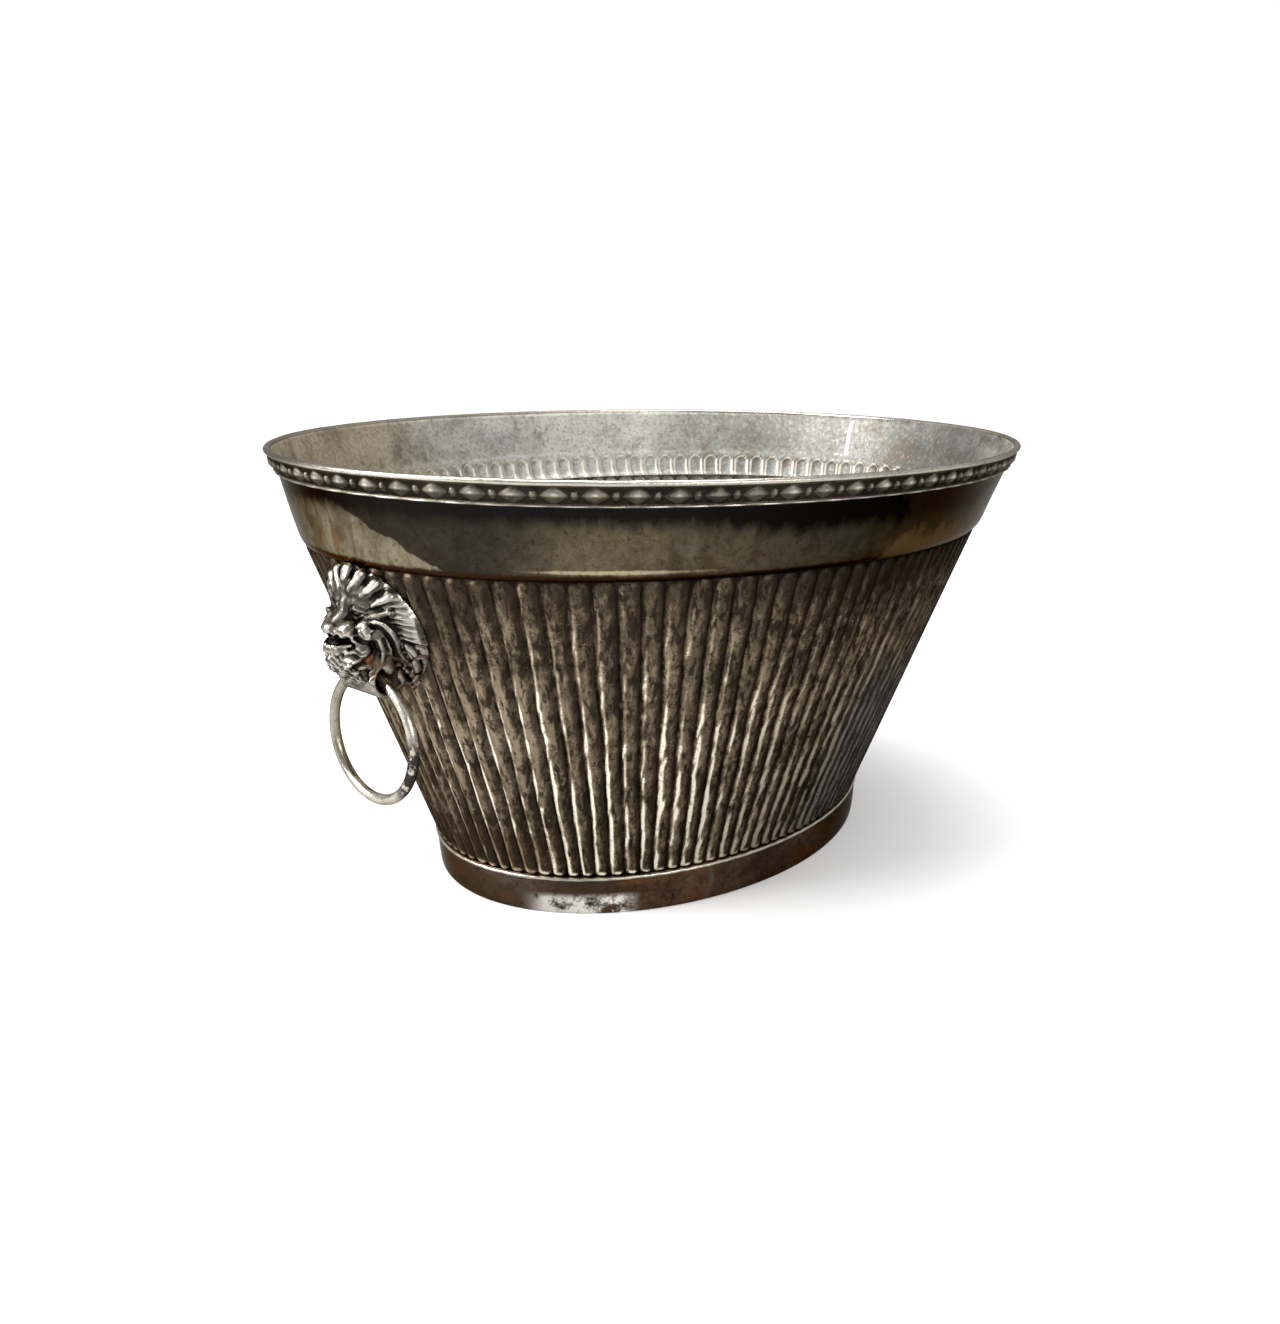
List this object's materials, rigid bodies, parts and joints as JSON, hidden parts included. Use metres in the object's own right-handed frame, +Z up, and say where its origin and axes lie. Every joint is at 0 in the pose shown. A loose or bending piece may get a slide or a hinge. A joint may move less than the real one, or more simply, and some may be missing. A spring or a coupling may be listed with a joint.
{
  "type": "champagne bucket",
  "caption": "Oval fluted silver-plate champagne bucket with a bead-and-reel rim, plain foot band, and a lion mask with a swinging drop ring at each end.",
  "frame": {"origin": "middle of the underside of the foot band, on the surface that the bucket stands on", "axes": "+Z up, +X along the long axis of the oval towards the right-hand lion mask, +Y across the oval"},
  "size_m": [0.43, 0.3564, 0.22],
  "materials": {
    "wall_plate": "silver plate over brass, darkly tarnished, worn bright on the high parts",
    "foot_plate": "silver plate worn through to copper brown",
    "border_plate": "cast silver plate, black in the hollows",
    "lip_plate": "silver plate, worn bright",
    "mask_plate": "cast silver plate, bright relief and dark hollows",
    "ring_plate": "silver plate, rubbed bright, yellowed",
    "fixing_brass": "dull turned brass"
  },
  "bodies": {
    "bucket": {"body_wall": "wall_plate", "foot_band": "foot_plate", "base_pan": "wall_plate", "foot_wire": "border_plate", "rim_border": "border_plate", "rim_lip": "lip_plate", "lion_mask_left": "mask_plate", "mask_studs_left": "fixing_brass", "mask_washers_left": "fixing_brass", "mask_nuts_left": "fixing_brass", "lion_mask_right": "mask_plate", "mask_studs_right": "fixing_brass", "mask_washers_right": "fixing_brass", "mask_nuts_right": "fixing_brass"},
    "left_ring": {"ring_handle_left": "ring_plate"},
    "right_ring": {"ring_handle_right": "ring_plate"}
  },
  "joints": [
    {"name": "left_ring_swing", "type": "hinge", "parent": "bucket", "child": "left_ring", "pos_m": [-0.1955, 0, 0.127], "axis": [0, 1, 0], "range_deg": [-25, 100]},
    {"name": "right_ring_swing", "type": "hinge", "parent": "bucket", "child": "right_ring", "pos_m": [0.1955, 0, 0.127], "axis": [0, -1, 0], "range_deg": [-25, 100]}
  ]
}
